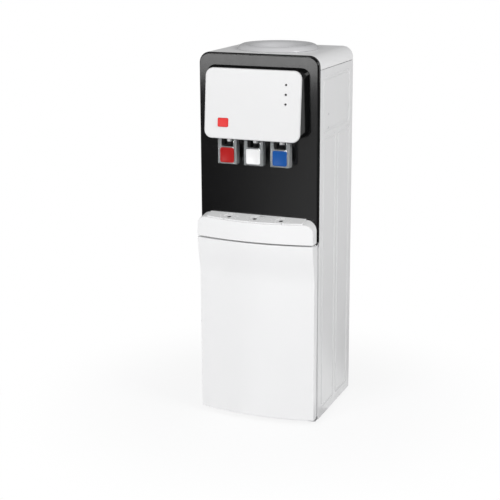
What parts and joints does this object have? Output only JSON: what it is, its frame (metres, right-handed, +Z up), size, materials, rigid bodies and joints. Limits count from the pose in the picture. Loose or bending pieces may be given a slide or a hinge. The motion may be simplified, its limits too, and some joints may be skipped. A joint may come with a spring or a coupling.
{
  "type": "water dispenser",
  "caption": "Floor-standing bottled-water dispenser with push taps, a drip tray, a bottle seat on top and a storage cabinet below",
  "frame": {"origin": "middle of the base, on the floor", "axes": "+Z up, the front faces -Y, +X to the right seen from the front"},
  "size_m": [0.32, 0.32, 0.96],
  "materials": {
    "white_enamel": "satin powder coat",
    "white_plastic": "gloss moulded",
    "collar_plastic": "gloss moulded, slightly milky",
    "black_plastic": "gloss moulded",
    "red_plastic": "gloss moulded",
    "blue_plastic": "gloss moulded",
    "green_plastic": "gloss moulded",
    "clear_plastic": "clear moulded plastic",
    "grey_plastic": "fine satin",
    "rubber": "matt",
    "gasket_rubber": "matt",
    "steel": "drawn",
    "black_enamel": "satin black paint",
    "copper": "drawn copper",
    "foam": "expanded foam",
    "silicone": "milky silicone",
    "circuit_green": "solder mask",
    "smoked_plastic": "dark clear moulded plastic"
  },
  "bodies": {
    "cabinet": {"base_pan": "black_enamel", "foot_front_left": "rubber", "foot_front_right": "rubber", "foot_rear_left": "rubber", "foot_rear_right": "rubber", "side_panel_left": "white_enamel", "side_panel_right": "white_enamel", "rear_panel": "white_enamel", "top_cover": "white_plastic", "cabinet_liner": "white_plastic", "fascia": "black_plastic", "pod_housing": "black_plastic", "control_plate": "white_plastic", "indicator_light_pipe": "smoked_plastic", "indicator_board": "circuit_green", "tap_body_hot": "white_plastic", "tap_body_room": "white_plastic", "tap_body_cold": "white_plastic", "paddle_pin_hot": "steel", "paddle_pin_room": "steel", "paddle_pin_cold": "steel", "tray_housing": "white_plastic", "hinge_bracket_upper": "steel", "hinge_bracket_lower": "steel", "door_catch": "grey_plastic", "bottle_collar": "collar_plastic", "bottle_probe": "collar_plastic", "cold_tank": "steel", "cold_tank_insulation": "foam", "evaporator_coil": "copper", "hot_tank": "steel", "tank_shelf": "steel", "tank_stand": "steel", "hose_cold": "silicone", "hose_hot": "silicone", "hose_room": "silicone", "compressor": "black_enamel", "condenser": "black_enamel", "filter_drier": "copper", "switch_bezel": "black_plastic", "cord_inlet": "black_plastic", "drain_pipe": "silicone"},
    "door": {"door_outer": "white_plastic", "door_inner": "white_plastic", "door_gasket": "gasket_rubber"},
    "hot_lock_button": {"hot_lock_button": "red_plastic"},
    "paddle_hot": {"paddle_hot": "clear_plastic", "paddle_insert_hot": "red_plastic"},
    "valve_stem_hot": {"valve_stem_hot": "grey_plastic"},
    "paddle_room": {"paddle_room": "clear_plastic", "paddle_insert_room": "white_plastic"},
    "valve_stem_room": {"valve_stem_room": "grey_plastic"},
    "paddle_cold": {"paddle_cold": "clear_plastic", "paddle_insert_cold": "blue_plastic"},
    "valve_stem_cold": {"valve_stem_cold": "grey_plastic"},
    "drip_tray": {"drip_tray": "white_plastic"},
    "drip_grille": {"drip_grille": "white_plastic"},
    "rocker_hot": {"rocker_hot": "black_plastic"},
    "rocker_cold": {"rocker_cold": "green_plastic"},
    "drain_cap": {"drain_cap": "white_plastic"}
  },
  "joints": [
    {"name": "door_hinge", "type": "hinge", "parent": "cabinet", "child": "door", "pos_m": [0.15, -0.118, 0.245], "axis": [0, 0, 1], "range_deg": [0, 110]},
    {"name": "hot_lock_press", "type": "slide", "parent": "cabinet", "child": "hot_lock_button", "axis": [0, 1, 0], "range_m": [0, 0.003], "stiffness_N_per_m": 300},
    {"name": "paddle_hot_press", "type": "hinge", "parent": "cabinet", "child": "paddle_hot", "pos_m": [-0.07, -0.139, 0.7495], "axis": [1, 0, 0], "range_deg": [0, 7], "stiffness_Nm_per_rad": 1.5, "springref_deg": -1.72},
    {"name": "valve_hot_lift", "type": "slide", "parent": "cabinet", "child": "valve_stem_hot", "axis": [0, 0, 1], "range_m": [0, 0.004]},
    {"name": "paddle_room_press", "type": "hinge", "parent": "cabinet", "child": "paddle_room", "pos_m": [0, -0.139, 0.7495], "axis": [1, 0, 0], "range_deg": [0, 7], "stiffness_Nm_per_rad": 1.5, "springref_deg": -1.72},
    {"name": "valve_room_lift", "type": "slide", "parent": "cabinet", "child": "valve_stem_room", "axis": [0, 0, 1], "range_m": [0, 0.004]},
    {"name": "paddle_cold_press", "type": "hinge", "parent": "cabinet", "child": "paddle_cold", "pos_m": [0.07, -0.139, 0.7495], "axis": [1, 0, 0], "range_deg": [0, 7], "stiffness_Nm_per_rad": 1.5, "springref_deg": -1.72},
    {"name": "valve_cold_lift", "type": "slide", "parent": "cabinet", "child": "valve_stem_cold", "axis": [0, 0, 1], "range_m": [0, 0.004]},
    {"name": "drip_tray_lift", "type": "slide", "parent": "cabinet", "child": "drip_tray", "axis": [0, 0, 1], "range_m": [0, 0.045]},
    {"name": "drip_grille_lift", "type": "slide", "parent": "drip_tray", "child": "drip_grille", "axis": [0, 0, 1], "range_m": [0, 0.03]},
    {"name": "rocker_hot_tilt", "type": "hinge", "parent": "cabinet", "child": "rocker_hot", "pos_m": [0.0755, 0.1515, 0.56], "axis": [1, 0, 0], "range_deg": [0, 14]},
    {"name": "rocker_cold_tilt", "type": "hinge", "parent": "cabinet", "child": "rocker_cold", "pos_m": [0.0945, 0.1515, 0.56], "axis": [1, 0, 0], "range_deg": [0, 14]},
    {"name": "drain_cap_pull", "type": "slide", "parent": "cabinet", "child": "drain_cap", "axis": [0, 1, 0], "range_m": [0, 0.03]}
  ],
  "couplings": [
    {"joint": "valve_hot_lift", "follows": "paddle_hot_press", "m_per_rad": 0.03274},
    {"joint": "valve_room_lift", "follows": "paddle_room_press", "m_per_rad": 0.03274},
    {"joint": "valve_cold_lift", "follows": "paddle_cold_press", "m_per_rad": 0.03274}
  ]
}
